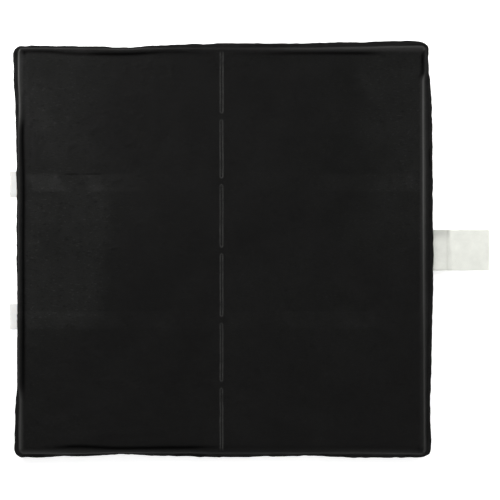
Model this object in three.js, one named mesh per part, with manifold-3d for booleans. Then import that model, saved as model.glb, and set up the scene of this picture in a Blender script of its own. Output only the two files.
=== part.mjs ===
// Carbon filter pad: six honeycomb panels filled with carbon granules, held in a frame of strips,
// closed by two nets and sealed in a black non-woven bag that is welded round a flange.
// Millimetres, +Z up. The pad lies on its back, +X points to the pull tab, and the origin is
// the centre of the back face.

import * as THREE from "three";
import { mergeVertices } from "three/addons/utils/BufferGeometryUtils.js";
import Module from "manifold-3d";

const wasm = await Module();
wasm.setup();

// The bag, measured over its outer faces.
const PAD_WIDTH = 341;
const PAD_HEIGHT = 337;
const PAD_THICKNESS = 13;
const COVER_THICKNESS = 0.8;
const PAD_CORNER_RADIUS = 1.8;

// The welded flange round the bag, half way up its sides.
const FLANGE_PLANE = 6.2;
const FLANGE_RIGHT = 7.5;
const FLANGE_LEFT = 3;
const FLANGE_ENDS = 5.5;
const FLANGE_CORNER_RADIUS = 8;

// Room left between neighbouring pieces.
const GAP = 0.3;

// The row of heat-seal bars down the middle.
const SEAL_COUNT = 6;
const SEAL_WIDTH = 4;
const SEAL_SPACE = 4.4;
const SEAL_DEPTH = 0.4;

// The frame of strips and the two nets glued over it.
const RAIL_WIDTH = 9;
const SPINE_WIDTH = 10;
const RIB_WIDTH = 14;
const NET_THICKNESS = 0.4;
const NET_MARGIN = 4; // the nets stop short of the frame's outer edge

// The honeycomb panels, and the layer of granules that stands over their cells.
const CELL_PITCH = 18;
const CELL_WALL = 1;
const CELL_COLUMNS = 8;
const CELL_ROWS = 5;
const GRANULE_LAYER = 0.8;

// The pull tab: a ribbon whose outer part is folded back over itself.
const TAB_WIDTH = 33.8;
const TAB_REACH = 49.2;
const TAB_LAYER = 0.6;
const TAB_FOLD_GAP = 0.3;
const TAB_DOUBLE_LENGTH = 36;
const TAB_HINGE_OFFSET = 2;

// The two fastening strips on the left flange.
const STRIP_WIDTH = 22;
const STRIP_REACH = 4.6;
const STRIP_THICKNESS = 0.8;
const STRIP_HINGE_OFFSET = 0.8;

// The welded ends of the tab and the strips, and how far each ends short of its hinge.
const ROOT_THICKNESS = 0.5;
const ROOT_CLEARANCE = 1;

// Worked out from the dimensions above.
const HALF_WIDTH = PAD_WIDTH / 2;
const HALF_HEIGHT = PAD_HEIGHT / 2;
const FRAME_HALF_WIDTH = HALF_WIDTH - COVER_THICKNESS - GAP;
const FRAME_HALF_HEIGHT = HALF_HEIGHT - COVER_THICKNESS - GAP;
const BACK_NET_BOTTOM = COVER_THICKNESS + GAP;
const FRAME_BOTTOM = BACK_NET_BOTTOM + NET_THICKNESS + GAP;
const FRONT_NET_TOP = PAD_THICKNESS - COVER_THICKNESS - GAP;
const FRAME_TOP = FRONT_NET_TOP - NET_THICKNESS - GAP;
const CORE_TOP = FRAME_TOP - GRANULE_LAYER - GAP;
const FLANGE_TOP = FLANGE_PLANE + GAP / 2 + COVER_THICKNESS;
const FLANGE_BOTTOM = FLANGE_PLANE - GAP / 2 - COVER_THICKNESS;
const RIGHT_EDGE = HALF_WIDTH + FLANGE_RIGHT;
const LEFT_EDGE = -HALF_WIDTH - FLANGE_LEFT;
const SEAL_PITCH = PAD_HEIGHT / SEAL_COUNT;
const RIB_CENTRE = PAD_HEIGHT / 6;
const ROUND_SEGMENTS = 5;
const FOLD_SEGMENTS = 8;

const COLOURS = {
  cover: { color: 0x1d1d1c, roughness: 0.92, metalness: 0 },
  frame: { color: 0x3a3a3c, roughness: 0.6, metalness: 0 },
  honeycomb: { color: 0x2c2c2e, roughness: 0.7, metalness: 0 },
  carbon: { color: 0x0d0d0e, roughness: 0.8, metalness: 0 },
  net: { color: 0x26282a, roughness: 0.75, metalness: 0 },
  ribbon: { color: 0xe8eae4, roughness: 0.85, metalness: 0 },
  hookTape: { color: 0xf0f0ee, roughness: 0.55, metalness: 0 },
};

function rectangle(left, bottom, right, top) {
  const shape = new THREE.Shape();
  shape.moveTo(left, bottom);
  shape.lineTo(right, bottom);
  shape.lineTo(right, top);
  shape.lineTo(left, top);
  shape.closePath();
  return shape;
}

function roundedRectangle(left, bottom, right, top, radius) {
  const shape = new THREE.Shape();
  shape.absarc(right - radius, top - radius, radius, 0, Math.PI / 2);
  shape.absarc(left + radius, top - radius, radius, Math.PI / 2, Math.PI);
  shape.absarc(left + radius, bottom + radius, radius, Math.PI, 1.5 * Math.PI);
  shape.absarc(right - radius, bottom + radius, radius, 1.5 * Math.PI, 2 * Math.PI);
  shape.closePath();
  return shape;
}

function prism(shape, bottom, top) {
  const options = { depth: top - bottom, bevelEnabled: false, curveSegments: ROUND_SEGMENTS };
  return new THREE.ExtrudeGeometry(shape, options).translate(0, 0, bottom);
}

function box(left, back, bottom, right, front, top) {
  return prism(rectangle(left, back, right, front), bottom, top);
}

// A geometry as a closed solid that can be joined and cut.
function solidOf(geometry) {
  const bare = new THREE.BufferGeometry();
  bare.setAttribute("position", geometry.getAttribute("position").clone());
  if (geometry.index) bare.setIndex(geometry.index.clone());
  const merged = mergeVertices(bare, 1e-4);
  return new wasm.Manifold(
    new wasm.Mesh({
      numProp: 3,
      vertProperties: merged.getAttribute("position").array,
      triVerts: new Uint32Array(merged.index.array),
    }),
  );
}

function geometryOf(solid) {
  const mesh = solid.getMesh();
  const geometry = new THREE.BufferGeometry();
  geometry.setAttribute("position", new THREE.BufferAttribute(mesh.vertProperties, 3));
  geometry.setIndex(new THREE.BufferAttribute(mesh.triVerts, 1));
  const flat = geometry.toNonIndexed();
  flat.computeVertexNormals();
  return flat;
}

function join(geometries) {
  const solids = geometries.map(solidOf);
  return solids.reduce((whole, piece) => whole.add(piece));
}

function cutAll(solid, geometries) {
  return geometries.reduce((rest, tool) => rest.subtract(solidOf(tool)), solid);
}

function node(name, geometry, colour) {
  const mesh = new THREE.Mesh(geometry, new THREE.MeshStandardMaterial(COLOURS[colour]));
  mesh.name = name;
  return mesh;
}

// The outline of the bag's side wall, taken in by an inset.
function padOutline(inset) {
  const radius = PAD_CORNER_RADIUS - inset;
  return roundedRectangle(
    inset - HALF_WIDTH,
    inset - HALF_HEIGHT,
    HALF_WIDTH - inset,
    HALF_HEIGHT - inset,
    radius,
  );
}

function flangeOutline() {
  const reach = HALF_HEIGHT + FLANGE_ENDS;
  return roundedRectangle(LEFT_EDGE, -reach, RIGHT_EDGE, reach, FLANGE_CORNER_RADIUS);
}

// Room in the flange's two layers for the welded ends of the ribbon and the strips.
function rootPockets() {
  const half = ROOT_THICKNESS / 2 + GAP;
  const bottom = FLANGE_PLANE - half;
  const top = FLANGE_PLANE + half;
  const tabHalf = TAB_WIDTH / 2 + GAP;
  const stripHalf = STRIP_WIDTH / 2 + GAP;
  const pockets = [
    box(HALF_WIDTH + GAP, -tabHalf, bottom, RIGHT_EDGE + 1, tabHalf, top),
  ];
  for (const side of [1, -1]) {
    const y = side * RIB_CENTRE;
    pockets.push(box(LEFT_EDGE - 1, y - stripHalf, bottom, -HALF_WIDTH - GAP, y + stripHalf, top));
  }
  return pockets;
}

// The pressed bars of the centre seam, cut to their depth between two heights.
function sealBars(bottom, top) {
  const halfLength = (SEAL_PITCH - SEAL_SPACE) / 2;
  return Array.from({ length: SEAL_COUNT }, (_, i) => {
    const y = (i - (SEAL_COUNT - 1) / 2) * SEAL_PITCH;
    return box(-SEAL_WIDTH / 2, y - halfLength, bottom, SEAL_WIDTH / 2, y + halfLength, top);
  });
}

function frontCover() {
  const bottom = FLANGE_PLANE + GAP / 2;
  const whole = join([
    prism(padOutline(0), bottom, PAD_THICKNESS),
    prism(flangeOutline(), bottom, FLANGE_TOP),
  ]);
  const hollow = prism(padOutline(COVER_THICKNESS), bottom - 1, PAD_THICKNESS - COVER_THICKNESS);
  const bars = sealBars(PAD_THICKNESS - SEAL_DEPTH, PAD_THICKNESS + 1);
  return geometryOf(cutAll(whole, [hollow, ...rootPockets(), ...bars]));
}

function backCover() {
  const top = FLANGE_PLANE - GAP / 2;
  const whole = join([
    prism(padOutline(0), 0, top),
    prism(flangeOutline(), FLANGE_BOTTOM, top),
  ]);
  const hollow = prism(padOutline(COVER_THICKNESS), COVER_THICKNESS, top + 1);
  const bars = sealBars(-1, SEAL_DEPTH);
  return geometryOf(cutAll(whole, [hollow, ...rootPockets(), ...bars]));
}

function net(bottom) {
  const halfWidth = FRAME_HALF_WIDTH - NET_MARGIN;
  const halfHeight = FRAME_HALF_HEIGHT - NET_MARGIN;
  return box(-halfWidth, -halfHeight, bottom, halfWidth, halfHeight, bottom + NET_THICKNESS);
}

// The rails, the spine between the end rails, and the ribs between the side rails and the spine.
function frameStrips() {
  const strip = (name, left, back, right, front) =>
    node(name, box(left, back, FRAME_BOTTOM, right, front, FRAME_TOP), "frame");
  const railInner = FRAME_HALF_WIDTH - RAIL_WIDTH;
  const endInner = FRAME_HALF_HEIGHT - RAIL_WIDTH;
  const endReach = railInner - GAP;
  const spineReach = endInner - GAP;
  const strips = [
    strip("left_rail", -FRAME_HALF_WIDTH, -FRAME_HALF_HEIGHT, -railInner, FRAME_HALF_HEIGHT),
    strip("right_rail", railInner, -FRAME_HALF_HEIGHT, FRAME_HALF_WIDTH, FRAME_HALF_HEIGHT),
    strip("top_rail", -endReach, endInner, endReach, FRAME_HALF_HEIGHT),
    strip("bottom_rail", -endReach, -FRAME_HALF_HEIGHT, endReach, -endInner),
    strip("centre_spine", -SPINE_WIDTH / 2, -spineReach, SPINE_WIDTH / 2, spineReach),
  ];
  const ribInner = SPINE_WIDTH / 2 + GAP;
  for (const [level, y] of [["upper", RIB_CENTRE], ["lower", -RIB_CENTRE]]) {
    const back = y - RIB_WIDTH / 2;
    const front = y + RIB_WIDTH / 2;
    strips.push(strip(`${level}_left_rib`, -endReach, back, -ribInner, front));
    strips.push(strip(`${level}_right_rib`, ribInner, back, endReach, front));
  }
  return strips;
}

// The centres of the honeycomb's cells about a panel's own centre, every other row shifted.
function cellCentres() {
  const rowPitch = (CELL_PITCH * Math.sqrt(3)) / 2;
  const centres = [];
  for (let row = 0; row < CELL_ROWS; row += 1) {
    const shift = (row % 2 ? 1 : -1) * (CELL_PITCH / 4);
    const y = (row - (CELL_ROWS - 1) / 2) * rowPitch;
    for (let column = 0; column < CELL_COLUMNS; column += 1) {
      const x = (column - (CELL_COLUMNS - 1) / 2) * CELL_PITCH + shift;
      centres.push(new THREE.Vector2(x, y));
    }
  }
  return centres;
}

// A hexagon with two sides upright, by the distance across its flats.
function hexagonPoints(centre, acrossFlats) {
  const radius = acrossFlats / Math.sqrt(3);
  return Array.from({ length: 6 }, (_, i) => {
    const angle = Math.PI / 6 + (i * Math.PI) / 3;
    return new THREE.Vector2(
      centre.x + radius * Math.cos(angle),
      centre.y + radius * Math.sin(angle),
    );
  });
}

function honeycombPanel(width, height) {
  const sheet = rectangle(-width / 2, -height / 2, width / 2, height / 2);
  for (const centre of cellCentres()) {
    const cell = hexagonPoints(centre, CELL_PITCH - CELL_WALL).reverse();
    sheet.holes.push(new THREE.Path(cell));
  }
  return prism(sheet, FRAME_BOTTOM, CORE_TOP);
}

// The granules of one panel: a plug in every cell, and the thin layer that joins them on top.
function carbonBed(width, height) {
  const layerBottom = FRAME_TOP - GRANULE_LAYER;
  const layer = rectangle(-width / 2, -height / 2, width / 2, height / 2);
  const plugs = cellCentres().map((centre) => {
    const plug = new THREE.Shape(hexagonPoints(centre, CELL_PITCH - CELL_WALL - 2 * GAP));
    return prism(plug, FRAME_BOTTOM, layerBottom + GRANULE_LAYER / 2);
  });
  return geometryOf(join([prism(layer, layerBottom, FRAME_TOP), ...plugs]));
}

// One honeycomb panel and its carbon bed in each of the frame's six bays.
function filledBays() {
  const left = SPINE_WIDTH / 2 + GAP;
  const right = FRAME_HALF_WIDTH - RAIL_WIDTH - GAP;
  const middleTop = RIB_CENTRE - RIB_WIDTH / 2 - GAP;
  const outerBottom = RIB_CENTRE + RIB_WIDTH / 2 + GAP;
  const outerTop = FRAME_HALF_HEIGHT - RAIL_WIDTH - GAP;
  const outerCentre = (outerBottom + outerTop) / 2;
  const rows = [
    ["top", outerCentre, outerTop - outerBottom],
    ["middle", 0, 2 * middleTop],
    ["bottom", -outerCentre, outerTop - outerBottom],
  ];
  const bays = new THREE.Group();
  for (const [side, sign] of [["left", -1], ["right", 1]]) {
    for (const [row, y, height] of rows) {
      const bay = new THREE.Group();
      bay.position.set((sign * (left + right)) / 2, y, 0);
      bay.add(node(`honeycomb_${side}_${row}`, honeycombPanel(right - left, height), "honeycomb"));
      bay.add(node(`carbon_bed_${side}_${row}`, carbonBed(right - left, height), "carbon"));
      bays.add(bay);
    }
  }
  return bays;
}

// A profile drawn with its first axis along the pad and its second axis up, as wide as the ribbon.
function ribbonGeometry(profile, width) {
  const options = { depth: width, bevelEnabled: false, curveSegments: FOLD_SEGMENTS };
  const geometry = new THREE.ExtrudeGeometry(profile, options).translate(0, 0, -width / 2);
  return geometry.rotateX(Math.PI / 2);
}

// The ribbon from its hinge out to the fold and back over itself, about the hinge line.
function pullTabProfile() {
  const half = TAB_LAYER / 2;
  const upperBottom = half + TAB_FOLD_GAP;
  const upperTop = upperBottom + TAB_LAYER;
  const outerRadius = (upperTop + half) / 2;
  const innerRadius = TAB_FOLD_GAP / 2;
  const foldCentreX = TAB_REACH - TAB_HINGE_OFFSET - outerRadius;
  const foldCentreY = upperTop - outerRadius;
  const endX = TAB_REACH - TAB_HINGE_OFFSET - TAB_DOUBLE_LENGTH;
  const quarter = Math.PI / 2;
  const profile = new THREE.Shape();
  profile.moveTo(0, -half);
  profile.lineTo(foldCentreX, -half);
  profile.absarc(foldCentreX, foldCentreY, outerRadius, -quarter, quarter);
  profile.lineTo(endX, upperTop);
  profile.lineTo(endX, upperBottom);
  profile.lineTo(foldCentreX, upperBottom);
  profile.absarc(foldCentreX, foldCentreY, innerRadius, quarter, -quarter, true);
  profile.lineTo(0, half);
  profile.closePath();
  return profile;
}

// The pull tab about its hinge line, and its end welded into the right flange.
function pullTab() {
  const rootInner = HALF_WIDTH + 2 * GAP;
  const rootOuter = RIGHT_EDGE + TAB_HINGE_OFFSET - ROOT_CLEARANCE;
  const half = ROOT_THICKNESS / 2;
  const root = rectangle(rootInner, FLANGE_PLANE - half, rootOuter, FLANGE_PLANE + half);
  const group = new THREE.Group();
  const tab = node("pull_tab", ribbonGeometry(pullTabProfile(), TAB_WIDTH), "ribbon");
  tab.position.set(RIGHT_EDGE + TAB_HINGE_OFFSET, 0, FLANGE_PLANE);
  group.add(tab);
  group.add(node("pull_tab_root", ribbonGeometry(root, TAB_WIDTH), "ribbon"));
  return group;
}

// A fastening strip about its hinge line, and its end welded into the left flange.
function fasteningStrip(level, y) {
  const half = STRIP_THICKNESS / 2;
  const rootHalf = ROOT_THICKNESS / 2;
  const freeLength = STRIP_REACH - STRIP_HINGE_OFFSET;
  const rootOuter = LEFT_EDGE - STRIP_HINGE_OFFSET + ROOT_CLEARANCE;
  const rootInner = -HALF_WIDTH - 2 * GAP;
  const free = rectangle(-freeLength, -half, 0, half);
  const root = rectangle(rootOuter, -rootHalf, rootInner, rootHalf);
  const group = new THREE.Group();
  group.position.set(0, y, FLANGE_PLANE);
  const strip = node(`${level}_strip`, ribbonGeometry(free, STRIP_WIDTH), "hookTape");
  strip.position.set(LEFT_EDGE - STRIP_HINGE_OFFSET, 0, 0);
  group.add(strip);
  group.add(node(`${level}_strip_root`, ribbonGeometry(root, STRIP_WIDTH), "hookTape"));
  return group;
}

const pad = new THREE.Group();
pad.add(node("front_cover", frontCover(), "cover"));
pad.add(node("back_cover", backCover(), "cover"));
pad.add(node("front_net", net(FRONT_NET_TOP - NET_THICKNESS), "net"));
pad.add(node("back_net", net(BACK_NET_BOTTOM), "net"));
pad.add(...frameStrips());
pad.add(filledBays());
pad.add(pullTab());
pad.add(fasteningStrip("upper", RIB_CENTRE));
pad.add(fasteningStrip("lower", -RIB_CENTRE));

export default pad;
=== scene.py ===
import math

import bpy
import numpy as np
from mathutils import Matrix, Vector


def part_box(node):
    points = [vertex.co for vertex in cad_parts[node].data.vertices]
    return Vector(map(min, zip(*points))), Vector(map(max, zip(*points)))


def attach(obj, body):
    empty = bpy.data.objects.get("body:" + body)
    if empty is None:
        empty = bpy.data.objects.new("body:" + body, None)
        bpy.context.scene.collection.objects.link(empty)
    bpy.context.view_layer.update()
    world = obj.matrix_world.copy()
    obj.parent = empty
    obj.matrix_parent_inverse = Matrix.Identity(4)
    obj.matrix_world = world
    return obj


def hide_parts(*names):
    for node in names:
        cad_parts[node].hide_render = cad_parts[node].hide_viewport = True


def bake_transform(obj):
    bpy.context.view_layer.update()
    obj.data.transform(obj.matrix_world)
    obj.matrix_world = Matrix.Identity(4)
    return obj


# A honeycomb carbon filter pad: a flat square bag of black non-woven fabric, stretched over a hidden frame
# whose bays hold honeycomb panels filled with carbon granules. It lies on its back, the front face up.
# Lengths are in millimetres, except for the lights, the floor and the flat sizes of the sheets, which are in
# metres, as the frame and Blender have them.

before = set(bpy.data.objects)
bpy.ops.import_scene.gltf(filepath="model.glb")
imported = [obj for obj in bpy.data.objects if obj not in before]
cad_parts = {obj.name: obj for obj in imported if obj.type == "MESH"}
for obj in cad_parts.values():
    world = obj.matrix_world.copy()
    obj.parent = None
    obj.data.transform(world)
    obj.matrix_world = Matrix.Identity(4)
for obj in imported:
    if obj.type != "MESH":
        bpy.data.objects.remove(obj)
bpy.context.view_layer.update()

MM = 0.001
COVER = 0.8  # the CAD cover's thickness
GAP = 0.3  # the CAD's gap between touching pieces
SKIN = 0.5  # thickness of the fabric
FACE_DROP = 0.3  # the front face's middle level below the CAD cover's face
BACK_DROP = 0.35  # the same at the back

RING_ZONE = 8.0  # the rounded border of each face starts this far inside the shoulder
CORNER_REACH = 10.0  # how far a corner's rounding reaches along each side

SEAL_GAPS = (-113.4, -58.5, 0.0, 58.5, 113.4)  # the places between the seam's six bars
SEAL_SPACE = 4.4  # between the ends of two seal bars
SEAL_DEPTH = 0.32  # how deep a bar is pressed in
SEAL_HALF_WIDTH = 1.9  # from a bar's middle to where the fabric is level again
SEAL_LINE = 1.2  # from the seam's middle to the raised line on each side of a bar
SEAL_OVERRUN = 0.6  # how far the two outer bars run past the shoulders

RIB_WIDTH = 14.0
FACE_STEP = 1.7  # between the points of a face where nothing needs them closer

RIBBON_THICKNESS = 0.42
RIBBON_TURN = 0.5  # the radius of the turn at its outer end
RIBBON_FOLDED_BACK = 36.0  # how long its folded end is
RIBBON_HALF_WIDTH = 17.0
HOOK_STRIP_THICKNESS = 0.4
HOOK_STRIP_EXTRA = 1.6  # how much longer the hook strips are than in the CAD


def box_mm(node):
    low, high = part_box(node)
    return np.array(low) / MM, np.array(high) / MM


FRONT_LOW, FRONT_HIGH = box_mm("front_cover")
BACK_LOW, BACK_HIGH = box_mm("back_cover")
SHOULDER_X = box_mm("right_rail")[1][0] + GAP + COVER
SHOULDER_Y = box_mm("top_rail")[1][1] + GAP + COVER
WELD_PLANE = (FRONT_LOW[2] + BACK_HIGH[2]) / 2
RIB_CENTRES = [float(np.mean([b[1] for b in box_mm(n)])) for n in ("upper_left_rib", "lower_left_rib")]
TAB_LOW, TAB_HIGH = box_mm("pull_tab")
TAB_ROOT_LOW, TAB_ROOT_HIGH = box_mm("pull_tab_root")

# ---------------------------------------------------------------- camera, light and floor

VIEW_CENTRE = (24.1, 0.4)
VIEW_WIDTH = 422.5  # what the picture's width takes in, at the front face
LENS = 150.0
SENSOR = 36.0
FLOOR_RADIUS = 4.0  # in metres
FLOOR_SIDES = 64
TABLE_GLOW = 0.55  # the floor is a light table, which keeps the shadows pale


def make_camera():
    data = bpy.data.cameras.new("camera")
    data.lens = LENS
    data.sensor_width = SENSOR
    data.clip_end = 100
    camera = bpy.data.objects.new("camera", data)
    height = FRONT_HIGH[2] + VIEW_WIDTH * LENS / SENSOR
    camera.location = Vector((*VIEW_CENTRE, height)) * MM
    bpy.context.scene.collection.objects.link(camera)
    bpy.context.scene.camera = camera


def area_light(name, place, aim, size, power):
    """A rectangular light at place that points at aim, size being its width and height."""
    data = bpy.data.lights.new(name, "AREA")
    data.shape = "RECTANGLE"
    data.size, data.size_y = size
    data.energy = power
    light = bpy.data.objects.new(name, data)
    light.location = place
    light.rotation_euler = (Vector(aim) - Vector(place)).to_track_quat("-Z", "Y").to_euler()
    bpy.context.scene.collection.objects.link(light)


def make_lights():
    area_light("key", (-0.46, 0.34, 0.40), (-0.1, 0.06, 0), (0.25, 0.25), 4.6)
    area_light("side", (0.62, 0.36, 0.40), (0.15, 0.05, 0), (0.2, 0.6), 4.5)
    area_light("fill", (0.05, -0.75, 0.25), (0, -0.17, 0), (0.9, 0.15), 3.0)
    area_light("overhead", (0.2, -0.2, 2.4), (0, 0, 0), (1.6, 1.6), 5)
    world = bpy.data.worlds.new("studio")
    world.use_nodes = True
    background = world.node_tree.nodes["Background"]
    background.inputs["Color"].default_value = (1, 1, 1, 1)
    background.inputs["Strength"].default_value = 0.2
    bpy.context.scene.world = world
    bpy.context.scene.view_settings.view_transform = "Standard"


def make_floor():
    mesh = bpy.data.meshes.new("floor")
    angles = np.linspace(0, 2 * math.pi, FLOOR_SIDES, False)
    rim = [(FLOOR_RADIUS * math.cos(a), FLOOR_RADIUS * math.sin(a), 0) for a in angles]
    mesh.from_pydata(rim, [], [range(FLOOR_SIDES)])
    floor = bpy.data.objects.new("floor", mesh)
    bpy.context.scene.collection.objects.link(floor)
    material = bpy.data.materials.new("floor")
    material.use_nodes = True
    surface = material.node_tree.nodes["Principled BSDF"]
    surface.inputs["Base Color"].default_value = (0.9, 0.9, 0.9, 1)
    surface.inputs["Roughness"].default_value = 0.9
    surface.inputs["Emission Color"].default_value = (1, 1, 1, 1)
    surface.inputs["Emission Strength"].default_value = TABLE_GLOW
    mesh.materials.append(material)


make_camera()
make_lights()
make_floor()

# ---------------------------------------------------------------- noise and small helpers


def smooth(t):
    """A step from 0 at t = 0 to 1 at t = 1, with soft ends."""
    t = np.clip(t, 0, 1)
    return t * t * t * (t * (6 * t - 15) + 10)


def soft_box(value, half, soft):
    """1 inside -half to half, falling to 0 over soft on both sides of the edge."""
    return 1 - smooth((np.abs(value) - half + soft / 2) / soft)


def bump(value, width):
    """A bell-shaped bump, 1 high at 0."""
    return np.exp(-((value / width) ** 2))


def noise_1d(along, length, wavelength, seed):
    """Smooth noise from -1 to 1 that closes on itself after length."""
    count = max(4, round(length / wavelength))
    table = np.random.default_rng(seed).uniform(-1, 1, count)
    place = along / length * count
    cell = np.floor(place).astype(int)
    t = smooth(place - cell)
    return table[cell % count] * (1 - t) + table[(cell + 1) % count] * t


def noise_2d(x, y, size_x, size_y, seed, turn=0.0):
    """Smooth noise from -1 to 1, with bumps about size_x by size_y, turned by turn radians."""
    cells = 64
    table = np.random.default_rng(seed).uniform(-1, 1, (cells, cells))
    u = (x * math.cos(turn) + y * math.sin(turn)) / size_x
    v = (y * math.cos(turn) - x * math.sin(turn)) / size_y
    column, row = np.floor(u).astype(int), np.floor(v).astype(int)
    s, t = smooth(u - column), smooth(v - row)
    column, row = column % cells, row % cells
    next_column, next_row = (column + 1) % cells, (row + 1) % cells
    near = table[column, row] * (1 - s) + table[next_column, row] * s
    far = table[column, next_row] * (1 - s) + table[next_column, next_row] * s
    return near * (1 - t) + far * t


def graded(half, coarse, places):
    """An odd number of places from -half to half. They are coarse apart, and finer near each of places, which
    are (place, spacing, reach)."""
    found = [-half]
    while found[-1] < half:
        steps = []
        for place, fine, reach in places:
            away = float(smooth((abs(found[-1] - place) - reach) / reach))
            steps.append(fine + (coarse - fine) * away)
        found.append(found[-1] + min(steps))
    if len(found) % 2 == 0:
        found.append(2 * found[-1] - found[-2])
    found = np.array(found)
    return (found + half) * (2 * half / (found[-1] + half)) - half


def follow(rows, along):
    """Each column of rows, whose first column is a place along the side, read smoothly at along."""
    rows = np.array(rows)
    index = np.clip(np.searchsorted(rows[:, 0], along) - 1, 0, len(rows) - 2)
    low, high = rows[index], rows[index + 1]
    t = np.clip((along - low[:, 0]) / (high[:, 0] - low[:, 0]), 0, 1)
    t = (t * t * (3 - 2 * t))[:, None]
    return (low + (high - low) * t)[:, 1:].T


# ---------------------------------------------------------------- the fabric covers

# The border along each side of the pad, in rows by place along the side, from low x or y to high. A row says
# where the shallow valley inside the shoulder lies and its depth, where the shoulder's crest lies and how far
# it is below the face, where the foot of the wall lies and its height above the weld, where the flange ends,
# and how strong the painted highlight along the shoulder's crest is.
RIGHT_BORDER = [
    (-168, 166.0, 0.00, 171.5, 0.10, 174.2, 1.2, 177.7, 0.30),
    (-130, 166.0, 0.00, 171.4, 0.10, 174.2, 1.2, 177.2, 0.34),
    (-84, 166.0, 0.00, 171.2, 0.10, 174.6, 1.4, 178.4, 0.36),
    (-30, 166.0, 0.00, 170.9, 0.10, 175.8, 1.6, 179.6, 0.60),
    (50, 166.0, 0.00, 170.6, 0.10, 175.9, 1.6, 179.3, 0.85),
    (125, 166.0, 0.00, 170.4, 0.10, 175.4, 1.8, 178.6, 0.80),
    (143, 166.0, 0.00, 170.4, 0.15, 174.4, 1.6, 177.2, 0.70),
    (151, 169.9, 0.65, 171.6, 0.25, 173.8, 2.4, 175.9, 0.00),
    (168, 169.9, 0.65, 171.6, 0.25, 173.4, 2.6, 174.0, 0.00),
]
LEFT_BORDER = [
    (-168, 166.0, 0.00, 170.2, 0.10, 172.4, 1.5, 174.6, 0.36),
    (-150, 166.0, 0.00, 170.2, 0.10, 172.6, 1.5, 175.3, 0.42),
    (-128, 167.0, 0.10, 169.9, 0.15, 172.0, 1.8, 174.7, 0.34),
    (-112, 167.6, 0.70, 170.9, 0.25, 172.2, 3.0, 173.6, 0.03),
    (-50, 167.5, 0.90, 170.9, 0.25, 172.2, 3.0, 173.2, 0.02),
    (0, 167.6, 1.00, 171.0, 0.25, 172.5, 3.0, 174.0, 0.02),
    (50, 167.4, 1.00, 171.0, 0.25, 172.4, 3.0, 173.8, 0.03),
    (100, 168.2, 0.90, 171.2, 0.25, 172.4, 3.0, 174.3, 0.04),
    (118, 167.0, 0.15, 170.5, 0.15, 172.0, 1.8, 175.3, 0.50),
    (150, 166.0, 0.00, 171.4, 0.10, 173.2, 1.5, 176.3, 0.72),
    (168, 166.0, 0.00, 171.6, 0.10, 173.8, 1.5, 176.6, 0.60),
]
TOP_BORDER = [
    (-168, 168.2, 0.40, 170.6, 0.10, 172.2, 1.6, 174.1, 0.10),
    (-150, 168.2, 0.60, 170.5, 0.10, 172.0, 1.8, 173.9, 0.08),
    (-120, 166.2, 0.55, 170.2, 0.10, 171.7, 1.8, 173.1, 0.07),
    (-86, 166.0, 1.00, 169.8, 0.10, 171.2, 1.8, 172.4, 0.08),
    (-40, 167.8, 0.45, 170.4, 0.10, 172.3, 1.8, 174.4, 0.02),
    (0, 166.0, 0.05, 169.8, 0.20, 172.8, 1.8, 175.7, 0.00),
    (30, 166.2, 0.25, 170.0, 0.10, 172.8, 1.6, 175.6, 0.05),
    (66, 166.8, 0.60, 170.4, 0.10, 172.6, 1.6, 175.8, 0.20),
    (117, 166.8, 0.70, 171.1, 0.10, 173.2, 1.6, 176.7, 0.34),
    (145, 166.6, 0.10, 172.0, 0.10, 174.0, 1.6, 177.4, 0.36),
    (168, 165.0, 0.00, 172.2, 0.20, 174.2, 1.6, 177.5, 0.30),
]
BOTTOM_BORDER = [
    (-168, 167.0, 0.10, 170.9, 0.10, 172.8, 1.5, 176.0, 0.22),
    (-150, 167.0, 0.20, 171.2, 0.10, 172.8, 1.5, 175.2, 0.24),
    (-122, 165.7, 0.85, 171.2, 0.10, 172.6, 1.5, 174.4, 0.16),
    (-86, 167.2, 1.10, 170.5, 0.10, 171.8, 1.6, 173.0, 0.12),
    (-35, 166.6, 0.95, 170.4, 0.10, 172.4, 1.6, 174.7, 0.08),
    (3, 166.2, 0.20, 170.8, 0.20, 173.0, 1.6, 175.7, 0.03),
    (66, 166.0, 0.15, 170.9, 0.15, 172.4, 1.6, 174.2, 0.05),
    (117, 166.2, 0.15, 170.8, 0.10, 173.0, 1.5, 175.8, 0.12),
    (150, 166.2, 0.10, 171.2, 0.10, 173.0, 1.5, 175.8, 0.16),
    (168, 166.0, 0.00, 170.6, 0.15, 172.8, 1.5, 175.0, 0.06),
]
# For each cross rib, the upper one first: how far the fabric's band lies above the rib's middle, and the
# patches where the fabric is tight, by place across, half length and strength.
BAND_PATCHES = [
    (1.2, [(-149, 14, 1.0), (-109, 8, 0.8), (-88, 24, 0.45), (118, 30, 0.4), (156, 10, 0.5)]),
    (-2.6, [(-150, 16, 0.6), (-108, 24, 0.55), (-60, 20, 0.2), (66, 14, 0.3), (108, 24, 0.5)]),
]
# A thin painted shadow line, the shade of the rib's edge, runs along the top of the upper band.
BAND_SHADOW_Y = RIB_CENTRES[0] + BAND_PATCHES[0][0] + RIB_WIDTH / 2 + 0.2

# The border is made of rings, each named by where it lies, from the face outwards. RINGS gives the radius of
# their corners in plan, how much they ripple and how far they follow the face's relief. FILLETS gives the
# radius of each rounding in the border's profile, and how many rings it has.
RINGS = {
    "brink": (0.8, 0.06, 1.0),
    "valley": (1.5, 0.10, 1.0),
    "crest": (2.6, 0.13, 0.7),
    "wall": (4.5, 0.45, 0.1),
    "foot": (4.5, 0.55, 0.0),
    "flange": (6.0, 0.8, 0.0),
    "edge": (7.5, 1.0, 0.0),
}
FILLETS = [("brink", 0.9, 3), ("valley", 1.1, 4), ("crest", 1.05, 6), ("foot", 0.8, 3), ("flange", 0.8, 3)]
EDGE_HEIGHT = SKIN + 0.1  # the flange's edge above the weld
FLANGE_RISE = 0.7  # the flange's highest line above its edge
GROOVE_WIDTH = 1.8  # of the painted shade line in the valley
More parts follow.
